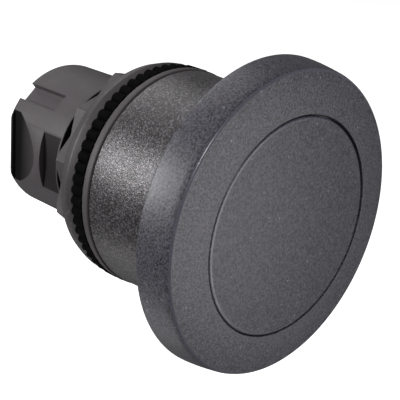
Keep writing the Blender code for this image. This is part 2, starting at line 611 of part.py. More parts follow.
def make_nut(material):
    """The mounting nut: a flange and a twelve-point body, which is two hexagons crossed."""
    rear_flange = NUT_FLANGE_RADIUS - NUT_FLANGE_TAPER
    corner = NUT_CHAMFER / 2
    overlap = NUT_FLANGE_REAR - NUT_FLANGE_THICKNESS / 2
    outline = [(0, NUT_FLANGE_REAR), (rear_flange - corner, NUT_FLANGE_REAR)]
    outline += [(rear_flange, NUT_FLANGE_REAR - corner), (NUT_FLANGE_RADIUS, NUT_FRONT + corner)]
    outline += [(NUT_FLANGE_RADIUS - corner, NUT_FRONT), (0, NUT_FRONT)]
    nut = turned("mounting_nut", outline, THREAD_AXIS, material)

    points = hexagon_prism("join_hexagon", overlap, NUT_REAR, NUT_FIRST_POINT)
    crossed = hexagon_prism("join_crossed", overlap, NUT_REAR, NUT_FIRST_POINT + NUT_POINT_STEP)
    boolean(points, crossed, "UNION")
    wide = NUT_POINT_RADIUS + MM
    chamfer_front = NUT_REAR - NUT_CHAMFER * math.tan(NUT_POINT_STEP)
    kept = [(0, overlap - MM), (wide, overlap - MM), (wide, chamfer_front)]
    past_rear = 2 * NUT_REAR - chamfer_front
    kept += [(NUT_POINT_RADIUS, chamfer_front), (NUT_POINT_RADIUS - 2 * NUT_CHAMFER, past_rear)]
    kept += [(0, past_rear)]
    boolean(points, turned("keep_chamfer", kept, THREAD_AXIS), "INTERSECT")
    boolean(nut, points, "UNION")

    bore = [(0, NUT_FRONT - MM), (THRUST_POCKET_RADIUS, NUT_FRONT - MM)]
    bore += [(THRUST_POCKET_RADIUS, THRUST_POCKET_REAR), (NUT_BORE, THRUST_POCKET_REAR)]
    bore += [(NUT_BORE, NUT_REAR + MM), (0, NUT_REAR + MM)]
    boolean(nut, turned("cut_nut_bore", bore, THREAD_AXIS), "DIFFERENCE")
    return nut


def make_thrust_washer(material):
    """The washer in the nut's front pocket; its tab runs in the barrel's groove."""
    washer = ring("thrust_washer", THRUST_INNER, THRUST_OUTER, THRUST_FRONT, THRUST_REAR,
                  THREAD_AXIS, material)
    low = (TAB_INNER, -TAB_WIDTH / 2, THRUST_FRONT)
    high = (THRUST_INNER + THRUST_WASHER_WIDTH / 2, TAB_WIDTH / 2, THRUST_REAR)
    tab = block("join_tab", low, high, THREAD_AXIS, WASHER_GROOVE_ANGLE)
    boolean(washer, tab, "UNION")
    return washer


# ---------------------------------------------------------------- assembly
def main():
    """Build every piece."""
    head_plastic = plain_material("head_plastic", (0.065, 0.070, 0.078), 0.55)
    bezel_plastic = plain_material("bezel_plastic", (0.085, 0.085, 0.085), 0.42)
    body_plastic = plain_material("body_plastic", (0.080, 0.078, 0.076), 0.5)
    nut_plastic = plain_material("nut_plastic", (0.095, 0.092, 0.088), 0.48)
    rubber = plain_material("black_rubber", (0.010, 0.010, 0.010), 0.8)
    steel = plain_material("zinc_steel", (0.62, 0.62, 0.60), 0.35, 1.0)
    nylon = plain_material("natural_nylon", (0.62, 0.60, 0.54), 0.5)

    make_head(head_plastic)
    make_disc(head_plastic)
    make_head_screw(steel)
    make_screw_washer(steel)
    make_plunger(nylon)
    make_clip(steel)
    make_pusher(nylon)

    make_bezel(bezel_plastic)
    make_wiper_seal(rubber)
    make_seal_retainer(body_plastic)
    make_o_ring(rubber)
    make_bush(nylon)
    make_housing(body_plastic)
    make_gasket(rubber)
    make_bump_washer(rubber)
    make_spring(steel)

    make_nut(nut_plastic)
    make_thrust_washer(steel)


main()
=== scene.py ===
# %% [markdown]
# A mushroom-head push button is a stack of turned plastic pieces on one axis, with a lobed
# rubber gasket and a twelve-point ring nut behind the panel. The solids give every size and
# every joint. This lesson gives them their finished surfaces: rounded edges, moulded grain,
# a real thread, a coiled spring and the small marks that use leaves.

import math

import bmesh
import bpy
from mathutils import Matrix, Vector


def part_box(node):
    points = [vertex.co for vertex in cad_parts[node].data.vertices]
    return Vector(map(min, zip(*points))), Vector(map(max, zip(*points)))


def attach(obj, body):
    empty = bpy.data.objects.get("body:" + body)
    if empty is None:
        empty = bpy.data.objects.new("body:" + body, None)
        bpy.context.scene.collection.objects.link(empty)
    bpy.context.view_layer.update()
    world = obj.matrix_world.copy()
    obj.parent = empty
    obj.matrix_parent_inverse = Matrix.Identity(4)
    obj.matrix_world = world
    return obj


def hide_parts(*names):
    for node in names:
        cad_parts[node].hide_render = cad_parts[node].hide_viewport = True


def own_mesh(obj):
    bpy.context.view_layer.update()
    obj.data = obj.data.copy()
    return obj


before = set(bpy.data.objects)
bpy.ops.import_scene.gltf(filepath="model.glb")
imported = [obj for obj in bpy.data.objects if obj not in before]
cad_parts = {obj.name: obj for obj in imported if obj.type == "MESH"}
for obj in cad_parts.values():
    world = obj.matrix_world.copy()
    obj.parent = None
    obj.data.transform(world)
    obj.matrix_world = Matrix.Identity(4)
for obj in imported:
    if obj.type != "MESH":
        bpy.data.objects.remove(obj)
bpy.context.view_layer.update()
print("pieces loaded:", ", ".join(sorted(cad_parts)))

# %% [markdown]
# Every piece turns about the same line, the row's Y axis, so a point is given by a radius and
# a station: its distance along the axis from the panel plane, positive towards the rear. The
# outer sizes are read from the solids' boxes. The inner ones, which a box can't give, are
# named here in millimetres, as the solids have them.

# %% Read the sizes
MM = 0.001
GAP = 0.3 * MM
SIDES = 160


def span(node):
    """The first and last station of a piece and its largest radius."""
    low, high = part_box(node)
    return low[1], high[1], high[0]


HEAD_FRONT, NECK_REAR, HEAD_RADIUS = span("mushroom_head")
DISC_FRONT, DISC_REAR, DISC_RADIUS = span("head_disc")
BEZEL_FRONT, BEZEL_REAR, BEZEL_RADIUS = span("bezel")
SPIGOT_FRONT, BARREL_REAR, COLLAR_RADIUS = span("barrel_housing")
GASKET_FRONT, GASKET_REAR, GASKET_RADIUS = span("panel_gasket")
NUT_FRONT, NUT_REAR, NUT_RADIUS = span("mounting_nut")
PUSHER_FRONT, PUSHER_REAR, PUSHER_RADIUS = span("rear_pusher")
SPRING_FRONT, SPRING_REAR, SPRING_OUTER = span("return_spring")
SPIGOT_OUTER = span("seal_retainer")[2]
_, TAIL_REAR, BOSS_RADIUS = span("plunger")

HEAD_DEPTH = 5.6 * MM
HEAD_FLARE = 0.7 * MM
HEAD_CROWN = 0.8 * MM
COLLAR_THICKNESS = 0.9 * MM
THREAD_RADIUS = 10.95 * MM
THREAD_PITCH = 1.5 * MM
BARREL_RADIUS = 10.4 * MM
UNDERCUT_RADIUS = 9.2 * MM
BARREL_FRONT = 8.8 * MM
THREAD_REAR = 7.0 * MM
print("head", round(HEAD_RADIUS / MM, 2), "mm in radius, barrel ends at", round(BARREL_REAR / MM, 2), "mm")


# %% [markdown]
# The camera stands at the front left and above, close to the object. Its place and the line
# that it looks along are given from the middle of the head's face. The camera is then swung a
# little about the button's axis. That gives the same view as turning the button the other way,
# but the solids stay where they are.

# %% Place the camera
def make_camera():
    """A camera that looks at the button from its front left."""
    stand = Vector((-86.96, -72.60, 55.40)) * MM
    look = Vector((0.63819, 0.64729, -0.41680))
    roll = math.radians(-6.0)
    data = bpy.data.cameras.new("camera")
    data.sensor_width = 36.0
    data.lens = 94.3
    data.clip_start = 0.005
    data.clip_end = 10.0
    camera = bpy.data.objects.new("camera", data)
    bpy.context.scene.collection.objects.link(camera)
    turn = Matrix.Rotation(roll, 4, "Y")
    place = look.to_track_quat("-Z", "Y").to_matrix().to_4x4()
    place.translation = stand
    camera.matrix_world = Matrix.Translation((0, HEAD_FRONT, 0)) @ turn @ place
    bpy.context.scene.camera = camera
    return camera


camera = make_camera()
print("camera at", [round(c / MM, 1) for c in camera.matrix_world.translation], "mm")


# %% [markdown]
# Soft studio light: a white tent gives an even base, and a softbox behind on the left draws
# the broad highlight down the side of the skirt and the rim. A large one in front lights the
# face, and a small one stands high up in front on the left. Two weaker ones behind the button,
# above and below it, light the barrel. The floor is pale and plain, and casts no shadow.

# %% Light the scene
def area_light(name, place, size, power):
    """A rectangular softbox that points at the button."""
    data = bpy.data.lights.new(name, "AREA")
    data.shape = "RECTANGLE"
    data.size, data.size_y = size
    data.energy = power
    light = bpy.data.objects.new(name, data)
    light.location = place
    light.rotation_euler = (-Vector(place)).to_track_quat("-Z", "Y").to_euler()
    bpy.context.scene.collection.objects.link(light)
    return light


def make_tent(strength):
    """An even white surround, brighter to the eye than it is as a light."""
    world = bpy.data.worlds.new("tent")
    bpy.context.scene.world = world
    world.use_nodes = True
    nodes, links = world.node_tree.nodes, world.node_tree.links
    surround = nodes["Background"]
    surround.inputs["Color"].default_value = (1, 1, 1, 1)
    surround.inputs["Strength"].default_value = strength
    backdrop = nodes.new("ShaderNodeBackground")
    backdrop.inputs["Strength"].default_value = 1.15
    path = nodes.new("ShaderNodeLightPath")
    mix = nodes.new("ShaderNodeMixShader")
    links.new(path.outputs["Is Camera Ray"], mix.inputs["Fac"])
    links.new(surround.outputs[0], mix.inputs[1])
    links.new(backdrop.outputs[0], mix.inputs[2])
    links.new(mix.outputs[0], nodes["World Output"].inputs["Surface"])


def make_floor():
    """A pale floor below the button."""
    mesh = bpy.data.meshes.new("floor")
    shape = bmesh.new()
    bmesh.ops.create_grid(shape, x_segments=1, y_segments=1, size=1.5)
    shape.to_mesh(mesh)
    shape.free()
    floor = bpy.data.objects.new("floor", mesh)
    floor.location = (0, 0, -60 * MM)
    bpy.context.scene.collection.objects.link(floor)
    paint = bpy.data.materials.new("pale_floor")
    paint.use_nodes = True
    shader = paint.node_tree.nodes["Principled BSDF"]
    shader.inputs["Base Color"].default_value = (0.9, 0.9, 0.9, 1)
    shader.inputs["Roughness"].default_value = 0.9
    shader.inputs["Emission Color"].default_value = (1, 1, 1, 1)
    shader.inputs["Emission Strength"].default_value = 0.75
    mesh.materials.append(paint)
    floor.visible_diffuse = floor.visible_glossy = floor.visible_shadow = False


bpy.context.scene.view_settings.view_transform = "Standard"
make_tent(0.17)
make_floor()
area_light("softbox_left", (-0.28, 0.19, 0.11), (0.15, 0.13), 1.07)
area_light("softbox_front", (0.31, -0.64, -0.18), (0.50, 0.50), 2.6)
area_light("softbox_high", (-0.20, -0.30, 0.26), (0.09, 0.09), 0.72)
area_light("softbox_top", (0.05, 0.28, 0.30), (0.26, 0.26), 0.48)
area_light("softbox_below", (-0.10, 0.16, -0.30), (0.20, 0.20), 0.15)


# %% [markdown]
# The finishes share a few node patterns, so small helpers keep the recipes short: one adds a
# node, one adds noise on Object coordinates, one turns a value into a mix of two colours.

# %% Helpers for materials
class Finish:
    """A material with a Principled shader and the nodes that feed it."""

    def __init__(self, name, roughness, metallic=0.0):
        self.material = bpy.data.materials.new(name)
        self.material.use_nodes = True
        self.nodes = self.material.node_tree.nodes
        self.links = self.material.node_tree.links
        self.shader = self.nodes["Principled BSDF"]
        self.shader.inputs["Roughness"].default_value = roughness
        self.shader.inputs["Metallic"].default_value = metallic
        self.place = self.add("ShaderNodeTexCoord").outputs["Object"]

    def add(self, kind, settings=None, **values):
        """A node, with its settings and its input values."""
        node = self.nodes.new(kind)
        for key, value in (settings or {}).items():
            setattr(node, key, value)
        for key, value in values.items():
            node.inputs[key.replace("_", " ")].default_value = value
        return node

    def noise(self, size, detail=2.0, roughness=0.5):
        """Cloudy noise whose clouds are about this size."""
        noise = self.add("ShaderNodeTexNoise", Scale=1.0 / size, Detail=detail, Roughness=roughness)
        self.links.new(self.place, noise.inputs["Vector"])
        return noise.outputs["Fac"]

    def cells(self, size):
        """One random value for each small cell, as flakes in a moulding have."""
        cells = self.add("ShaderNodeTexVoronoi", Scale=1.0 / size)
        self.links.new(self.place, cells.inputs["Vector"])
        return cells

    def ramp(self, value, low, high, to_low=0.0, to_high=1.0):
        """Stretch part of a value's range."""
        stretch = self.add("ShaderNodeMapRange")
        stretch.inputs["From Min"].default_value = low
        stretch.inputs["From Max"].default_value = high
        stretch.inputs["To Min"].default_value = to_low
        stretch.inputs["To Max"].default_value = to_high
        self.links.new(value, stretch.inputs["Value"])
        return stretch.outputs["Result"]

    def sums(self, operation, first, second):
        """A maths node on two values, each a socket or a number."""
        node = self.add("ShaderNodeMath", {"operation": operation})
        for socket, value in zip(node.inputs, (first, second)):
            if isinstance(value, (int, float)):
                socket.default_value = value
            else:
                self.links.new(value, socket)
        return node.outputs[0]

    def blend(self, factor, first, second):
        """A mix of two colours, each a socket or a colour."""
        mix = self.add("ShaderNodeMix", {"data_type": "RGBA"})
        self.links.new(factor, mix.inputs["Factor"])
        for socket, value in zip((mix.inputs[6], mix.inputs[7]), (first, second)):
            if isinstance(value, tuple):
                socket.default_value = (*value, 1.0)
            else:
                self.links.new(value, socket)
        return mix.outputs[2]

    def colour(self, socket):
        """Drive the colour."""
        self.links.new(socket, self.shader.inputs["Base Color"])

    def roughen(self, value, low, high):
        """Let a value move the roughness between two numbers."""
        self.links.new(self.ramp(value, 0.0, 1.0, low, high), self.shader.inputs["Roughness"])

    def bump(self, height, depth):
        """Raise and lower the surface by a value times a depth."""
        bump = self.add("ShaderNodeBump", Strength=1.0, Distance=depth)
        self.links.new(height, bump.inputs["Height"])
        self.links.new(bump.outputs["Normal"], self.shader.inputs["Normal"])

    def radius(self):
        """The distance from the button's axis."""
        apart = self.add("ShaderNodeSeparateXYZ")
        self.links.new(self.place, apart.inputs[0])
        squares = self.sums("ADD", self.sums("POWER", apart.outputs["X"], 2.0),
                            self.sums("POWER", apart.outputs["Z"], 2.0))
        return self.sums("SQRT", squares, 0.0)


print("a finish has", len([n for n in vars(Finish) if not n.startswith("_")]), "helpers")


# %% [markdown]
# The head is moulded in a dark blue-grey plastic from a spark-eroded tool. The grain is much
# finer than a millimetre, and a few pale cells in it are painted glints, where a peak of the
# grain would catch the light. Hands rub the outer edges of the face and of the disc smooth, so a
# narrow band there is shinier, and it is also painted paler as a painted highlight along the edge.
# A painted map would have to be painted again for a head of another size, but noise and a radius
# follow it by themselves.

# %% The head's plastic
def head_plastic(name, dark, light, roughness, rubbed_highlight_radius):
    """Fine-grained moulded plastic with faint clouds, painted glints and a rubbed edge with a painted
    highlight.
    """
    finish = Finish(name, roughness)
    clouds = finish.ramp(finish.noise(2.5 * MM, 4.0, 0.65), 0.3, 0.7)
    grain = finish.noise(0.24 * MM, 1.0, 0.6)
    base = finish.blend(clouds, dark, light)
    speckle = finish.ramp(grain, 0.33, 0.67)
    pit, peak = tuple(c * 0.20 for c in dark), tuple(c * 1.95 for c in light)
    mixed = finish.add("ShaderNodeMix", {"data_type": "RGBA"}, Factor=0.88)
    finish.links.new(base, mixed.inputs[6])
    finish.links.new(finish.blend(speckle, pit, peak), mixed.inputs[7])
    # pale cells painted as glints, where a peak of the grain would catch the light
    painted_glint = finish.ramp(finish.cells(0.22 * MM).outputs["Color"], 0.92, 0.97, 0.0, 0.5)
    colour = finish.blend(painted_glint, mixed.outputs[2], (0.36, 0.36, 0.38))
    # the rubbed band: polished smoother by use, and painted paler as a painted highlight on the edge
    inside = finish.ramp(finish.radius(), rubbed_highlight_radius - 0.40 * MM, rubbed_highlight_radius - 0.25 * MM)
    behind = finish.ramp(finish.radius(), rubbed_highlight_radius - 0.06 * MM, rubbed_highlight_radius, 1.0, 0.0)
    patches = finish.ramp(finish.noise(0.5 * MM, 3.0, 0.7), 0.35, 0.60, 0.55, 1.0)
    rubbed_and_painted_highlight = finish.sums("MULTIPLY", finish.sums("MULTIPLY", inside, behind), patches)
    finish.colour(finish.blend(rubbed_and_painted_highlight, colour, tuple(c * 2.0 for c in light)))
    finish.roughen(rubbed_and_painted_highlight, roughness, 0.22)
    finish.bump(grain, 0.016 * MM)
    return finish.material


HEAD_PLASTIC = head_plastic("head_plastic", (0.0395, 0.0372, 0.0475), (0.050, 0.0472, 0.060), 0.43,
                            HEAD_RADIUS - HEAD_FLARE)
DISC_PLASTIC = head_plastic("disc_plastic", (0.032, 0.0303, 0.0405), (0.041, 0.0386, 0.051), 0.44,
                            DISC_RADIUS + 0.10 * MM)
print(HEAD_PLASTIC.name, DISC_PLASTIC.name)


# %% [markdown]
# The skirt has metal flakes in the plastic, so its broad highlight breaks up into a
# salt-and-pepper sparkle. Random cells stand for the flakes: the higher a cell's value, the
# paler and the more metallic it is. Fine noise darkens the plastic between them and dents the
# whole surface. Flakes made as meshes would be far too many and far too small.

# %% The bezel's flecked plastic
def flecked_plastic(name):
    """Dark plastic full of fine metal flakes."""
    finish = Finish(name, 0.38)
    flakes = finish.cells(0.15 * MM).outputs["Color"]
    grain = finish.noise(0.20 * MM, 1.0, 0.6)
    clouds = finish.ramp(finish.noise(3.0 * MM, 2.0), 0.3, 0.7)
    dull_tone_and_painted_shade = finish.blend(clouds, (0.0105, 0.0088, 0.0100), (0.0150, 0.0125, 0.0142))
    shade = finish.ramp(grain, 0.3, 0.7)
    dull_tone_and_painted_shade = finish.blend(shade, (0.004, 0.004, 0.004), dull_tone_and_painted_shade)
    flake = finish.ramp(flakes, 0.45, 1.0)
    finish.colour(finish.blend(flake, dull_tone_and_painted_shade, (0.185, 0.168, 0.182)))
    finish.links.new(finish.ramp(flake, 0.0, 1.0, 0.0, 0.55), finish.shader.inputs["Metallic"])
    finish.roughen(shade, 0.46, 0.34)
    finish.bump(grain, 0.044 * MM)
    return finish.material


BEZEL_PLASTIC = flecked_plastic("bezel_plastic")
print(BEZEL_PLASTIC.name)


# %% [markdown]
# The housing and the nut are glass-filled plastic: warmer and satin, with faint flow clouds.
# Where a spanner rubs, the plastic turns pale, so the nut is paler in patches near its largest
# radius. Little light gets into the latch cuts, the undercut and the thread's root, so the
# housing there carries painted shade: it is darker and has little reflection. Both are worked
# out from places on the piece, so no map has to be made for either.

# %% The housing's and the nut's plastic
def filled_plastic(name, dark, light, roughness, recess_radius=None, worn_radius=None):
    """Satin glass-filled plastic, with painted shade in its recesses and scuffed near an outer radius."""
    finish = Finish(name, roughness)
    clouds = finish.ramp(finish.noise(2.2 * MM, 4.0, 0.6), 0.3, 0.7)
    grain = finish.noise(0.16 * MM, 2.0, 0.6)
    colour = finish.blend(clouds, dark, light)
    colour = finish.blend(finish.ramp(grain, 0.3, 0.7, 0.0, 0.35), colour, tuple(c * 1.5 for c in light))
    if recess_radius:
        apart = finish.add("ShaderNodeSeparateXYZ")
        finish.links.new(finish.place, apart.inputs[0])
        aside = finish.sums("ABSOLUTE", apart.outputs["X"], 0.0)
        cut_starts, cut_is_full = 8.0 * MM, 8.6 * MM
        side = finish.ramp(aside, cut_starts, cut_is_full)
        depth = finish.ramp(aside, recess_radius - 1.4 * MM, recess_radius, 1.0, 0.45)
        threaded = finish.ramp(apart.outputs["Y"], BARREL_FRONT, BARREL_FRONT + 0.05 * MM, 1.0, 0.0)
        sunk = finish.ramp(finish.radius(), recess_radius - 0.10 * MM, recess_radius - 0.04 * MM, 1.0, 0.0)
        side = finish.sums("MULTIPLY", side, depth)
        # painted shade: the recesses are darkened and lose most of their reflection, where little light
        # gets in
        dull_tone_and_painted_shade = finish.sums("MULTIPLY", sunk, finish.sums("MAXIMUM", side, threaded))
        colour = finish.blend(dull_tone_and_painted_shade, colour, tuple(c * 0.07 for c in dark))
        finish.links.new(finish.ramp(dull_tone_and_painted_shade, 0.0, 1.0, 0.5, 0.08), finish.shader.inputs["Specular IOR Level"])
    if worn_radius:
        outer = finish.ramp(finish.radius(), worn_radius - 0.25 * MM, worn_radius)
        patches = finish.ramp(finish.noise(0.7 * MM, 4.0, 0.7), 0.60, 0.72)
        worn = finish.sums("MULTIPLY", outer, patches)
        colour = finish.blend(worn, colour, tuple(min(c * 4.0, 0.5) for c in light))
    finish.colour(colour)
    finish.roughen(clouds, roughness - 0.05, roughness + 0.08)
    finish.bump(grain, 0.008 * MM)
    return finish.material


BODY_PLASTIC = filled_plastic("body_plastic", (0.038, 0.032, 0.036), (0.050, 0.043, 0.048), 0.60,
                              recess_radius=BARREL_RADIUS)
NUT_PLASTIC = filled_plastic("nut_plastic", (0.034, 0.030, 0.031), (0.044, 0.039, 0.040), 0.48,
                             worn_radius=NUT_RADIUS - 0.05 * MM)
print(BODY_PLASTIC.name, NUT_PLASTIC.name)


# %% [markdown]
# The rubber parts are nearly black and drink the light. Nylon is milky and slightly waxy. The
# steel parts have fine scratches. The spring and the clip are grey, and the zinc-plated screw
# and washers are paler, with a faint yellow bloom.

# %% Rubber, nylon and steel
def rubber(name):
    """Matte black sealing rubber."""
    finish = Finish(name, 0.85)
    dust = finish.noise(0.9 * MM, 3.0)
    black, dusty = (0.0012, 0.0012, 0.0012), (0.0035, 0.0035, 0.0035)
    finish.colour(finish.blend(finish.ramp(dust, 0.4, 0.8), black, dusty))
    finish.shader.inputs["Specular IOR Level"].default_value = 0.04
    finish.roughen(dust, 0.8, 0.95)
    finish.bump(finish.noise(0.12 * MM), 0.006 * MM)
    return finish.material


def nylon(name):
    """Milky natural nylon."""
    finish = Finish(name, 0.42)
    clouds = finish.ramp(finish.noise(1.8 * MM, 3.0), 0.3, 0.7)
    finish.colour(finish.blend(clouds, (0.55, 0.53, 0.46), (0.66, 0.64, 0.57)))
    finish.shader.inputs["Subsurface Weight"].default_value = 0.15
    finish.shader.inputs["Subsurface Scale"].default_value = 0.6 * MM
    finish.roughen(clouds, 0.36, 0.5)
    finish.bump(finish.noise(0.3 * MM), 0.004 * MM)
    return finish.material


def zinc_steel(name, bloom):
    """Plated steel with a faint bloom and fine scratches."""
    finish = Finish(name, 0.3, 1.0)
    clouds = finish.ramp(finish.noise(1.6 * MM, 3.0), 0.3, 0.7)
    finish.colour(finish.blend(clouds, (0.58, 0.59, 0.61), bloom))
    scratches = finish.noise(0.1 * MM, 4.0, 0.8)
    finish.roughen(scratches, 0.2, 0.5)
    finish.bump(scratches, 0.003 * MM)
    return finish.material


RUBBER = rubber("black_rubber")
NYLON = nylon("natural_nylon")
ZINC = zinc_steel("zinc_steel", (0.66, 0.63, 0.52))
SPRING_STEEL = zinc_steel("spring_steel", (0.46, 0.46, 0.47))
SLOTS = {HEAD_PLASTIC: "head_plastic", DISC_PLASTIC: "disc_plastic", BEZEL_PLASTIC: "bezel_plastic",
         BODY_PLASTIC: "body_plastic", NUT_PLASTIC: "nut_plastic", RUBBER: "black_rubber",
         NYLON: "nylon", ZINC: "zinc_steel", SPRING_STEEL: "spring_steel"}
print(", ".join(SLOTS.values()))


# %% [markdown]
# A turned piece is an outline that is spun about the axis. Real mouldings have no sharp
# corners, so each corner of an outline carries its own rounding, and a short arc replaces it.
# The outline is spun about local Z, and the mesh is then laid along the row's Y axis.

# %% Helpers for turned pieces
LAY_DOWN = Matrix.Rotation(math.radians(-90), 4, "X")


def rounded(corners, steps=5):
    """Outline points from (radius, station, rounding) corners."""
    points = []
    count = len(corners)
    for i, (r, s, fillet) in enumerate(corners):
        here = Vector((r, s))
        if fillet <= 0:
            points.append(here)
            continue
        back = Vector(corners[i - 1][:2]) - here
        ahead = Vector(corners[(i + 1) % count][:2]) - here
        half = back.angle(ahead) / 2
        reach = min(fillet / math.tan(half), back.length * 0.49, ahead.length * 0.49)
        fillet = reach * math.tan(half)
        centre = here + (back.normalized() + ahead.normalized()).normalized() * fillet / math.sin(half)
        first = here + back.normalized() * reach - centre
        last = here + ahead.normalized() * reach - centre
        swing = first.angle_signed(last)
        for k in range(steps + 1):
            points.append(centre + Matrix.Rotation(-swing * k / steps, 2) @ first)
    return [(p.x, p.y) for p in points]


def wound(outline):
    """The outline with its outer side running from the high stations to the low ones."""
    area = sum(a[0] * b[1] - b[0] * a[1] for a, b in zip(outline, outline[1:] + outline[:1]))
    return outline if area < 0 else outline[::-1]


def link(obj):
    """Put an object in the scene."""
    bpy.context.scene.collection.objects.link(obj)
    return obj


def baked(obj):
    """The object's evaluated mesh as a new plain object of the same name."""
    bpy.context.view_layer.update()
    graph = bpy.context.evaluated_depsgraph_get()
    mesh = bpy.data.meshes.new_from_object(obj.evaluated_get(graph))
    name = obj.name
    bpy.data.objects.remove(obj)
    mesh.name = name
    return link(bpy.data.objects.new(name, mesh))


def turned(name, outline, sides=SIDES):
    """A piece turned about local Z from (radius, station) points."""
    points = wound(outline)
    count = len(points)
    closed = True
    for i in range(count):
        if points[i][0] < 1e-9 and points[i - 1][0] < 1e-9:
            points = points[i:] + points[:i]
            closed = False
            break
    edges = [(i, i + 1) for i in range(count - 1)] + ([(count - 1, 0)] if closed else [])
    mesh = bpy.data.meshes.new(name)
    mesh.from_pydata([(r, 0, s) for r, s in points], edges, [])
    obj = link(bpy.data.objects.new(name, mesh))
    screw = obj.modifiers.new("Turn", "SCREW")
    screw.axis = "Z"
    screw.steps = screw.render_steps = sides
    screw.use_merge_vertices = True
    screw.merge_threshold = 0.000001
    return baked(obj)


def finished(obj, material, body, *nodes, sharp=32):
    """Lay a piece along the axis, shade it, give it its finish and its body."""
    obj.data.transform(LAY_DOWN)
    obj.data.shade_smooth()
    obj.data.set_sharp_from_angle(angle=math.radians(sharp))
    obj.data.materials.clear()
    obj.data.materials.append(material)
    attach(obj, body)
    if nodes:
        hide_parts(*nodes)
    print(obj.name, "has", len(obj.data.polygons), "faces")
    return obj


def prism(name, profile, start, end, turn=0.0):
    """A (radius, station) profile drawn out along the tangent, turned about the axis."""
    shape = bmesh.new()
    cap = shape.faces.new([shape.verts.new((r, start, station)) for r, station in profile])
    drawn = bmesh.ops.extrude_face_region(shape, geom=[cap])["geom"]
    far_side = [item for item in drawn if isinstance(item, bmesh.types.BMVert)]
    bmesh.ops.translate(shape, verts=far_side, vec=(0, end - start, 0))
    bmesh.ops.recalc_face_normals(shape, faces=shape.faces)
    bmesh.ops.rotate(shape, verts=shape.verts, matrix=Matrix.Rotation(-turn, 3, "Z"))
    mesh = bpy.data.meshes.new(name)
    shape.to_mesh(mesh)
    shape.free()
    return link(bpy.data.objects.new(name, mesh))


def block(name, low, high, turn=0.0):
    """A box between two corners, turned about the axis."""
    (x1, y1, z1), (x2, y2, z2) = low, high
    return prism(name, [(x1, z1), (x2, z1), (x2, z2), (x1, z2)], y1, y2, turn)


def combine(target, tools, operation):
    """Cut or join target with each tool in turn, and remove the tools."""
    for tool in tools:
        boolean = target.modifiers.new(tool.name, "BOOLEAN")
        boolean.operation = operation
        boolean.object = tool
        boolean.solver = "EXACT"
    target = baked(target)
    for tool in tools:
        bpy.data.objects.remove(tool)
    return target


def softened(obj, width, angle=28):
    """Round the sharp edges of a cut piece."""
    bevel = obj.modifiers.new("Soften", "BEVEL")
    bevel.width = width
    bevel.segments = 2
    bevel.limit_method = "ANGLE"
    bevel.angle_limit = math.radians(angle)
    bevel.use_clamp_overlap = True
    bevel.miter_outer = "MITER_ARC"
    return baked(obj)


print("turning helpers ready,", SIDES, "sides")


# %% [markdown]
# The head is a crowned ring around a recess for the disc, a rim that flares towards the rear,
# a hollow underside and a neck that slides in the bezel. The flare follows a power curve, so
# the rim leans in most at the front, where it meets the face in a soft edge.

# %% The mushroom head
def head_outline():
    """Half the head's section."""
    front_rim = HEAD_RADIUS - HEAD_FLARE
    rear = HEAD_FRONT + HEAD_DEPTH
    crown = HEAD_FRONT + HEAD_CROWN
    recess = DISC_RADIUS + GAP
    corners = [(recess, HEAD_FRONT + 0.05 * MM, 0.05 * MM), (front_rim - 0.1 * MM, crown, 0.55 * MM)]
    steps = 9
    for i in range(1, steps + 1):
        t = i / steps
        station = crown + (rear - crown) * t
        corners.append((HEAD_RADIUS - HEAD_FLARE * (1 - t) ** 1.5, station, 0.0))
    corners[-1] = (HEAD_RADIUS, rear, 0.45 * MM)
    rim_wall = 2.0 * MM
    inner = HEAD_RADIUS - rim_wall
    floor = DISC_FRONT + 3.2 * MM
    corners += [(inner, rear, 0.4 * MM), (inner - 0.6 * MM, floor, 0.6 * MM)]
    corners += [(BOSS_RADIUS, floor, 0.4 * MM), (BOSS_RADIUS, NECK_REAR, 0.25 * MM)]
    bore, screw_hole, screw_pocket = 5.6 * MM, 1.8 * MM, 3.5 * MM
    # the solid's web starts 0.3 mm further forward and is 0.3 mm thinner, so it clears the plunger
    web_front, web_rear = floor + 1.15 * MM, floor + 2.65 * MM
    corners += [(bore, NECK_REAR, 0.2 * MM), (bore, web_rear, 0.0)]
    corners += [(screw_hole, web_rear, 0.0), (screw_hole, web_front, 0.0)]
    corners += [(screw_pocket, web_front, 0.0), (screw_pocket, DISC_REAR + GAP, 0.0)]
    corners += [(recess, DISC_REAR + GAP, 0.0)]
    return rounded(corners, 6)


finished(turned("head_shell", head_outline(), 224), HEAD_PLASTIC, "head", "mushroom_head")


# %% [markdown]
# The disc is a plain turned plate that snaps into the face. It sits against one side of its
# recess, so the seam nearly closes there and opens on the other side, and its rounded edge
# catches a little light. A perfectly centred disc would look drawn on.

# %% The insert disc
def disc_outline():
    """Half the disc's section."""
    rim = DISC_RADIUS + 0.06 * MM
    corners = [(0.0, DISC_FRONT, 0.0), (rim, DISC_FRONT, 0.22 * MM)]
    corners += [(rim, DISC_REAR, 0.1 * MM), (0.0, DISC_REAR, 0.0)]
    return rounded(corners, 4)


DISC_SHIFT = -0.21 * MM
disc = turned("face_disc", disc_outline(), 224)
disc.data.transform(Matrix.Translation((DISC_SHIFT, 0, 0)))
finished(disc, DISC_PLASTIC, "head", "head_disc")


# %% [markdown]
# The bezel is a thin skirt, narrower towards the head, closed at the front by a wall with the
# neck's bore in it. It could be a cone, but its side is slightly curved, so the outline follows
# a power curve, as the head's rim does.

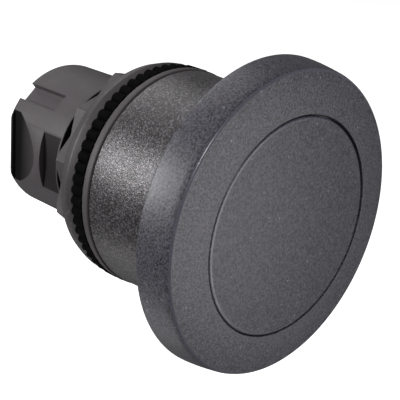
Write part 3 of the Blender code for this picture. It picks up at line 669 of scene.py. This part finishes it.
# %% The bezel
def bezel_outline():
    """Half the bezel's section."""
    taper = 0.75 * MM
    wall = 1.4 * MM
    rear = BEZEL_REAR + 0.14 * MM
    steps = 8
    corners = []
    for i in range(steps + 1):
        t = i / steps
        corners.append((BEZEL_RADIUS - taper * t ** 1.5, BEZEL_REAR + (BEZEL_FRONT - BEZEL_REAR) * t, 0.0))
    corners[0] = (BEZEL_RADIUS, rear, 0.10 * MM)
    corners[-1] = (BEZEL_RADIUS - taper, BEZEL_FRONT, 0.6 * MM)
    bore = BOSS_RADIUS + 2 * GAP
    inner = BEZEL_RADIUS - taper - wall
    front_wall = BEZEL_FRONT + 1.7 * MM
    corners += [(bore, BEZEL_FRONT, 0.3 * MM), (bore, front_wall, 0.1 * MM)]
    corners += [(inner, front_wall, 0.1 * MM), (inner, rear, 0.1 * MM)]
    return rounded(corners, 6)


finished(turned("bezel_skirt", bezel_outline(), 224), BEZEL_PLASTIC, "housing", "bezel")


# %% [markdown]
# The housing starts as a turned body with its spigot, collar, undercut and barrel. Flat cuts
# for the contact block's latches, a keyway and the washer's groove are then taken out of it,
# and every cut edge is softened, because a moulding's edges catch a line of light.

# %% The barrel housing
def housing_outline():
    """Half the housing's section, with the thread zone at its root radius."""
    collar_rear = GASKET_FRONT - GAP / 2
    collar_front = GASKET_FRONT - GAP - COLLAR_THICKNESS
    groove_rear = collar_front - 0.8 * MM
    groove_front = groove_rear - 1.6 * MM
    groove_floor = SPIGOT_OUTER - 1.3 * MM
    root = THREAD_RADIUS - 0.65 * MM
    edge = 0.35 * MM
    corners = [(BARREL_RADIUS, BARREL_REAR, edge), (BARREL_RADIUS, BARREL_FRONT, 0.15 * MM)]
    corners += [(UNDERCUT_RADIUS, BARREL_FRONT, 0.0), (UNDERCUT_RADIUS, THREAD_REAR, 0.0)]
    corners += [(root, THREAD_REAR - 0.3 * MM, 0.0), (root, collar_rear, 0.0)]
    corners += [(COLLAR_RADIUS, collar_rear, 0.12 * MM), (COLLAR_RADIUS, collar_front, 0.2 * MM)]
    corners += [(SPIGOT_OUTER, collar_front, 0.0), (SPIGOT_OUTER, groove_rear, 0.05 * MM)]
    corners += [(groove_floor, groove_rear, 0.0), (groove_floor, groove_front, 0.0)]
    corners += [(SPIGOT_OUTER, groove_front, 0.05 * MM), (SPIGOT_OUTER, SPIGOT_FRONT, 0.2 * MM)]
    front_bore = BOSS_RADIUS + 1.1 * MM
    bush_seat = SPIGOT_FRONT + 6.0 * MM
    corners += [(front_bore, SPIGOT_FRONT, 0.1 * MM), (front_bore, bush_seat, 0.0)]
    chamber = 8.9 * MM
    shelf_front, shelf_rear = 6.3 * MM, 8.1 * MM
    shaft_hole = 5.6 * MM
    bay = 8.2 * MM
    corners += [(chamber, bush_seat, 0.0), (chamber, shelf_front, 0.0)]
    corners += [(shaft_hole, shelf_front, 0.1 * MM), (shaft_hole, shelf_rear, 0.1 * MM)]
    corners += [(bay, shelf_rear, 0.25 * MM), (bay, BARREL_REAR, 0.25 * MM)]
    return rounded(corners, 4)


def washer_groove():
    """The cutter for the groove that the washer's tab runs in."""
    depth, half_width = 1.0 * MM, 1.4 * MM
    bottom = math.radians(-90.0)
    return block("washer_groove", (THREAD_RADIUS - depth, -half_width, GASKET_FRONT - GAP),
                 (BARREL_RADIUS + 2 * MM, half_width, BARREL_REAR + MM), bottom)


def housing_cuts():
    """Cutters for the latch slots, the ramps, the keyway and the washer's groove."""
    reach = BARREL_RADIUS + 2 * MM
    slot_front, slot_rear = BARREL_FRONT + 0.3 * MM, BARREL_FRONT + 4.0 * MM
    ramp_front, ramp_rear = slot_rear + 1.0 * MM, BARREL_REAR - 0.35 * MM
    floor = BARREL_RADIUS - 1.4 * MM
    lip = BARREL_RADIUS - 1.0 * MM
    ramp = [(BARREL_RADIUS, ramp_front), (floor, ramp_rear - 1.4 * MM), (floor, ramp_rear)]
    ramp += [(lip, ramp_rear), (lip, BARREL_REAR + MM), (reach, BARREL_REAR + MM), (reach, ramp_front)]
    slot_depth = 0.85 * MM
    cuts = []
    for turn in (math.pi, 0.0):
        cuts.append(block("latch_slot", (BARREL_RADIUS - slot_depth, -reach, slot_front),
                          (reach, reach, slot_rear), turn))
        cuts.append(prism("latch_ramp", ramp, -reach, reach, turn))
    keyway = math.radians(133.0)
    key_depth, half_key = 1.1 * MM, 1.35 * MM
    cuts.append(block("keyway", (BARREL_RADIUS - key_depth, -half_key, slot_rear),
                      (reach, half_key, BARREL_REAR + MM), keyway))
    cuts.append(washer_groove())
    return cuts


housing = combine(turned("housing_body", housing_outline()), housing_cuts(), "DIFFERENCE")
housing = softened(housing, 0.10 * MM)
housing = finished(housing, BODY_PLASTIC, "housing", "barrel_housing")


# %% [markdown]
# Geometry Nodes suit whatever follows a rule. A small class wires the trees: each has named
# inputs for its sizes, ends in Realize Instances and Set Material, and is turned into a plain
# mesh as soon as its inputs are set.

# %% A helper that builds node trees
class Tree:
    """A Geometry Nodes tree with named inputs."""

    def __init__(self, name):
        self.group = bpy.data.node_groups.new(name, "GeometryNodeTree")
        face = self.group.interface
        face.new_socket("Geometry", in_out="INPUT", socket_type="NodeSocketGeometry")
        face.new_socket("Geometry", in_out="OUTPUT", socket_type="NodeSocketGeometry")
        self.source = self.group.nodes.new("NodeGroupInput")
        self.sink = self.group.nodes.new("NodeGroupOutput")
        self.values = {}

    def size(self, name, value, kind="NodeSocketFloat"):
        """A named input, and the socket that carries it."""
        socket = self.group.interface.new_socket(name, in_out="INPUT", socket_type=kind)
        self.values[socket.identifier] = value
        return self.source.outputs[name]

    def add(self, kind, settings=None, **inputs):
        """A node whose inputs are numbers, sockets or vectors."""
        node = self.group.nodes.new(kind)
        for key, value in (settings or {}).items():
            setattr(node, key, value)
        for key, value in inputs.items():
            self.feed(node.inputs[key.replace("_", " ")], value)
        return node

    def feed(self, socket, value):
        """Link a socket to an input, or set its value."""
        if isinstance(value, bpy.types.NodeSocket):
            self.group.links.new(value, socket)
        else:
            socket.default_value = value

    def sums(self, operation, first, second):
        """A maths node."""
        node = self.add("ShaderNodeMath", {"operation": operation})
        self.feed(node.inputs[0], first)
        self.feed(node.inputs[1], second)
        return node.outputs[0]

    def grow(self, name, geometry, material):
        """Close the tree, run it and return a plain mesh object."""
        real = self.add("GeometryNodeRealizeInstances", Geometry=geometry)
        coat = self.add("GeometryNodeSetMaterial", Geometry=real.outputs[0], Material=material)
        self.group.links.new(coat.outputs[0], self.sink.inputs[0])
        obj = link(bpy.data.objects.new(name, bpy.data.meshes.new(name)))
        modifier = obj.modifiers.new("Grow", "NODES")
        modifier.node_group = self.group
        for identifier, value in self.values.items():
            modifier[identifier] = value
        return baked(obj)


def joined(name, *objects):
    """Several meshes in one object."""
    shape = bmesh.new()
    for obj in objects:
        shape.from_mesh(obj.data)
        bpy.data.objects.remove(obj)
    mesh = bpy.data.meshes.new(name)
    shape.to_mesh(mesh)
    shape.free()
    return link(bpy.data.objects.new(name, mesh))


print("tree helper ready")


# %% [markdown]
# The thread is one ridge wound along a helix. A spiral curve gives the helix, and a trapezoid
# swept along it gives the ridge, which is right-handed. A stack of rings would be simpler, but
# its turns would not climb. The nut's thread is the same tree with other
# sizes, and starts half a pitch off, so that its ridge runs in the housing's groove. The ridge
# is also cut by the washer's groove, which leaves the washer's tab free.

# %% The thread
def thread_ridge(name, root, crest, start, length, base, tip, material):
    """A trapezoid ridge on a helix, from its root radius to its crest radius."""
    tree = Tree(name + "_tree")
    middle = tree.size("Middle radius", (root + crest) / 2)
    run = tree.size("Length", length)
    pitch = tree.size("Pitch", THREAD_PITCH)
    turns = tree.sums("DIVIDE", run, pitch)
    helix = tree.add("GeometryNodeCurveSpiral", Resolution=72, Rotations=turns, Start_Radius=middle,
                     End_Radius=middle, Height=run, Reverse=True)
    flat = tree.add("GeometryNodeSetCurveNormal", {"mode": "Z_UP"}, Curve=helix.outputs[0])
    profile = tree.add("GeometryNodeCurvePrimitiveQuadrilateral", {"mode": "TRAPEZOID"},
                       Bottom_Width=tree.size("Base width", base),
                       Top_Width=tree.size("Crest width", tip),
                       Height=tree.size("Depth", abs(crest - root)), Offset=0.0)
    quarter = math.radians(-90 if crest > root else 90)
    upright = tree.add("GeometryNodeTransform", Geometry=profile.outputs[0], Rotation=(0, 0, quarter))
    sweep = tree.add("GeometryNodeCurveToMesh", Curve=flat.outputs[0],
                     Profile_Curve=upright.outputs[0], Fill_Caps=True)
    ridge = tree.grow(name, sweep.outputs[0], material)
    ridge.data.transform(Matrix.Translation((0, 0, start)))
    return ridge


THREAD_START = 0.35 * MM
thread = thread_ridge("thread_ridge", THREAD_RADIUS - 0.70 * MM, THREAD_RADIUS, THREAD_START,
                      THREAD_REAR - 0.5 * MM - THREAD_START, 0.95 * MM, 0.35 * MM, BODY_PLASTIC)
thread = combine(thread, [washer_groove()], "DIFFERENCE")
low = min(v.co.z for v in thread.data.vertices) / MM
high = max(v.co.z for v in thread.data.vertices) / MM
reach = max(v.co.xy.length for v in thread.data.vertices) / MM
print("thread from", round(low, 2), "to", round(high, 2), "mm, crest radius", round(reach, 2))
finished(thread, BODY_PLASTIC, "housing")


# %% [markdown]
# The gasket is a flat rubber ring whose edge is a row of rounded lobes. The lobes repeat
# exactly, so one short cylinder is placed at each point of a circle, and its outer half stands
# out of the ring as a lobe.

# %% The panel gasket
def gasket_lobes(count, tip, valley):
    """Lobes around the ring's edge, which meet at the valley radius."""
    tree = Tree("gasket_lobes_tree")
    half_pitch = math.sin(math.pi / count) * valley
    drop = tip - valley
    lobe = (half_pitch ** 2 + drop ** 2) / (2 * drop)
    total = tree.size("Lobes", count, "NodeSocketInt")
    radius = tree.size("Lobe radius", lobe)
    circle = tree.add("GeometryNodeMeshCircle", Vertices=total, Radius=tree.size("Ring radius", tip - lobe))
    post = tree.add("GeometryNodeMeshCylinder", {"fill_type": "NGON"}, Vertices=28, Radius=radius,
                    Depth=tree.size("Thickness", GASKET_REAR - GASKET_FRONT))
    copies = tree.add("GeometryNodeInstanceOnPoints", Points=circle.outputs[0],
                      Instance=post.outputs["Mesh"])
    return tree.grow("gasket_lobes", copies.outputs[0], RUBBER)


LOBE_COUNT = 63
LOBE_DEPTH = 0.6 * MM
lobes = gasket_lobes(LOBE_COUNT, GASKET_RADIUS, GASKET_RADIUS - LOBE_DEPTH)
lobes.data.transform(Matrix.Translation((0, 0, (GASKET_FRONT + GASKET_REAR) / 2)))
inner = THREAD_RADIUS + GAP
edge = GASKET_RADIUS - 0.7 * MM
ring = turned("gasket_ring", rounded([(edge, GASKET_REAR, 0.05 * MM), (edge, GASKET_FRONT, 0.05 * MM),
                                      (inner, GASKET_FRONT, 0.1 * MM), (inner, GASKET_REAR, 0.1 * MM)]))
finished(joined("lobed_gasket", ring, lobes), RUBBER, "housing", "panel_gasket")


# %% [markdown]
# The nut's twelve points are two hexagons crossed at 30 degrees. The tree draws the star as a
# circle of 24 points with every second one drawn in, raises it, and turns a chamfer on its
# rear. The flange is turned, joined to the star, and the bore and pocket are cut last.

# %% The mounting nut
def nut_star(points, radius, front, rear, chamfer):
    """The twelve-point crown of the nut."""
    tree = Tree("nut_star_tree")
    count = tree.size("Points", points, "NodeSocketInt")
    outer = tree.size("Point radius", radius)
    height = tree.size("Height", rear - front)
    cut = tree.size("Chamfer", chamfer)
    circle = tree.add("GeometryNodeMeshCircle", {"fill_type": "NGON"},
                      Vertices=tree.sums("MULTIPLY", count, 2), Radius=outer)
    drawn = math.cos(math.pi / 6) / math.cos(math.pi / 12)
    index = tree.add("GeometryNodeInputIndex")
    odd = tree.sums("MODULO", index.outputs[0], 2)
    factor = tree.sums("SUBTRACT", 1.0, tree.sums("MULTIPLY", odd, 1.0 - drawn))
    place = tree.add("GeometryNodeInputPosition")
    pulled = tree.add("ShaderNodeVectorMath", {"operation": "SCALE"}, Vector=place.outputs[0], Scale=factor)
    star = tree.add("GeometryNodeSetPosition", Geometry=circle.outputs[0], Position=pulled.outputs[0])
    raised = tree.add("GeometryNodeExtrudeMesh", Mesh=star.outputs[0], Offset=(0, 0, 1),
                      Offset_Scale=height, Individual=False)
    base = tree.add("GeometryNodeFlipFaces", Mesh=star.outputs[0])
    both = tree.add("GeometryNodeJoinGeometry")
    for part in (raised.outputs["Mesh"], base.outputs[0]):
        tree.group.links.new(part, both.inputs[0])
    solid = tree.add("GeometryNodeMergeByDistance", Geometry=both.outputs[0], Distance=1e-6)
    narrow = tree.sums("SUBTRACT", outer, tree.sums("MULTIPLY", cut, 1.7))
    cone = tree.add("GeometryNodeMeshCone", Vertices=160, Radius_Top=narrow,
                    Radius_Bottom=tree.sums("ADD", narrow, tree.sums("MULTIPLY", height, 1.7)),
                    Depth=tree.sums("MULTIPLY", height, 1.02))
    trimmed = tree.add("GeometryNodeMeshBoolean", {"operation": "INTERSECT", "solver": "EXACT"})
    tree.group.links.new(solid.outputs[0], trimmed.inputs["Mesh 2"])
    tree.group.links.new(cone.outputs["Mesh"], trimmed.inputs["Mesh 2"])
    crown = tree.grow("nut_star", trimmed.outputs["Mesh"], NUT_PLASTIC)
    crown.data.transform(Matrix.Translation((0, 0, front)))
    return crown


def nut_flange_outline(rear):
    """Half the flange's section, solid to the axis."""
    taper = 0.5 * MM
    corners = [(0.0, rear, 0.0), (NUT_RADIUS - taper, rear, 0.22 * MM)]
    corners += [(NUT_RADIUS - 0.05 * MM, NUT_FRONT + 1.0 * MM, 0.4 * MM)]
    corners += [(NUT_RADIUS - 0.45 * MM, NUT_FRONT, 0.05 * MM), (0.0, NUT_FRONT, 0.0)]
    return rounded(corners, 4)


flange_rear = NUT_FRONT + 2.5 * MM
NUT_POINTS = 12
FIRST_POINT = math.radians(138.0)
POINT_SETBACK = 1.0 * MM
NUT_CHAMFER = 0.35 * MM
WASHER_WIDTH = 1.7 * MM
star = nut_star(NUT_POINTS, NUT_RADIUS - POINT_SETBACK, flange_rear - 1.0 * MM, NUT_REAR, NUT_CHAMFER)
star.data.transform(Matrix.Rotation(-FIRST_POINT, 4, "Z"))
bore = THREAD_RADIUS + GAP
pocket = bore + WASHER_WIDTH + GAP
pocket_rear = NUT_FRONT + 1.4 * MM
cutter = turned("nut_bore", [(0, NUT_FRONT - MM), (pocket, NUT_FRONT - MM), (pocket, pocket_rear),
                             (bore, pocket_rear), (bore, NUT_REAR + MM), (0, NUT_REAR + MM)])
nut = combine(turned("nut_body", nut_flange_outline(flange_rear)), [star], "UNION")
nut = combine(nut, [cutter], "DIFFERENCE")
nut = softened(nut, 0.09 * MM, 25)
finished(nut, NUT_PLASTIC, "nut", "mounting_nut", sharp=28)

nut_thread = thread_ridge("nut_thread", bore + 0.05 * MM, THREAD_RADIUS - 0.40 * MM,
                          THREAD_START + 1.5 * THREAD_PITCH, NUT_REAR - pocket_rear - 1.5 * MM,
                          0.8 * MM, 0.3 * MM, NUT_PLASTIC)
finished(nut_thread, NUT_PLASTIC, "nut")


# %% [markdown]
# The return spring is a spiral curve with a round wire, and its turns lie closer together at
# both ends, as those of a real one do.

# %% The return spring
def spring_coil(wire, turns):
    """An open coil between the plunger's flange and the shelf."""
    tree = Tree("spring_tree")
    wire_radius = tree.size("Wire radius", wire)
    radius = tree.size("Coil radius", SPRING_OUTER - wire)
    coil = tree.add("GeometryNodeCurveSpiral", Resolution=40, Rotations=tree.size("Turns", turns),
                    Start_Radius=radius, End_Radius=radius, Reverse=False,
                    Height=tree.size("Height", SPRING_REAR - SPRING_FRONT - 2 * wire))
    section = tree.add("GeometryNodeCurvePrimitiveCircle", Resolution=14, Radius=wire_radius)
    sweep = tree.add("GeometryNodeCurveToMesh", Curve=coil.outputs[0], Profile_Curve=section.outputs[0],
                     Fill_Caps=True)
    spring = tree.grow("spring_coil", sweep.outputs[0], SPRING_STEEL)
    length = SPRING_REAR - SPRING_FRONT - 2 * wire
    closeness = 0.08
    for vert in spring.data.vertices:
        share = min(max(vert.co.z / length, 0.0), 1.0)
        vert.co.z -= length * closeness * math.sin(2 * math.pi * share)
    spring.data.transform(Matrix.Translation((0, 0, SPRING_FRONT + wire)))
    return spring


SPRING_WIRE = 0.4 * MM
SPRING_TURNS = 5.0
spring = finished(spring_coil(SPRING_WIRE, SPRING_TURNS), SPRING_STEEL, "housing", "return_spring")
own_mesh(spring)


# %% [markdown]
# The pusher at the rear is a nylon cap with four slots for the contact block's tongues. It is
# turned first and slotted afterwards, so that all its cut edges are softened together.

# %% The rear pusher
def make_pusher():
    """The cap on the plunger's tail."""
    tail = 2.8 * MM + GAP
    socket = TAIL_REAR + GAP
    corners = [(0.0, socket, 0.0), (tail, socket, 0.0), (tail, PUSHER_FRONT, 0.1 * MM)]
    corners += [(PUSHER_RADIUS, PUSHER_FRONT, 0.2 * MM), (PUSHER_RADIUS, PUSHER_REAR, 0.35 * MM)]
    corners += [(0.0, PUSHER_REAR, 0.0)]
    cap = turned("pusher_cap", rounded(corners, 4), 96)
    slot_floor, half_slot = tail + 1.2 * MM, 0.8 * MM
    cuts = []
    for quarter in range(4):
        cuts.append(block("pusher_slot", (slot_floor, -half_slot, socket - 0.6 * MM),
                          (PUSHER_RADIUS + MM, half_slot, PUSHER_REAR + MM), quarter * math.pi / 2))
    return softened(combine(cap, cuts, "DIFFERENCE"), 0.08 * MM)


finished(make_pusher(), NYLON, "head", "rear_pusher")


# %% [markdown]
# The small inner pieces keep their solids' shapes, because little or nothing of them shows
# when the button is whole. Each gets the finish of what it is made of.

# %% Finishes for the pieces that stay as solids
STAYS = {
    "head_screw": ZINC,
    "screw_washer": ZINC,
    "thrust_washer": ZINC,
    "retaining_clip": SPRING_STEEL,
    "plunger": NYLON,
    "guide_bush": NYLON,
    "seal_retainer": BODY_PLASTIC,
    "wiper_seal": RUBBER,
    "bezel_o_ring": RUBBER,
    "bump_washer": RUBBER,
}
for node, finish in STAYS.items():
    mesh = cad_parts[node].data
    mesh.materials.clear()
    mesh.materials.append(finish)
print("finished as they are:", ", ".join(STAYS))


# %% [markdown]
# The finished surfaces should fill the same box as the solids, or the joints and the mounts
# would no longer suit them.
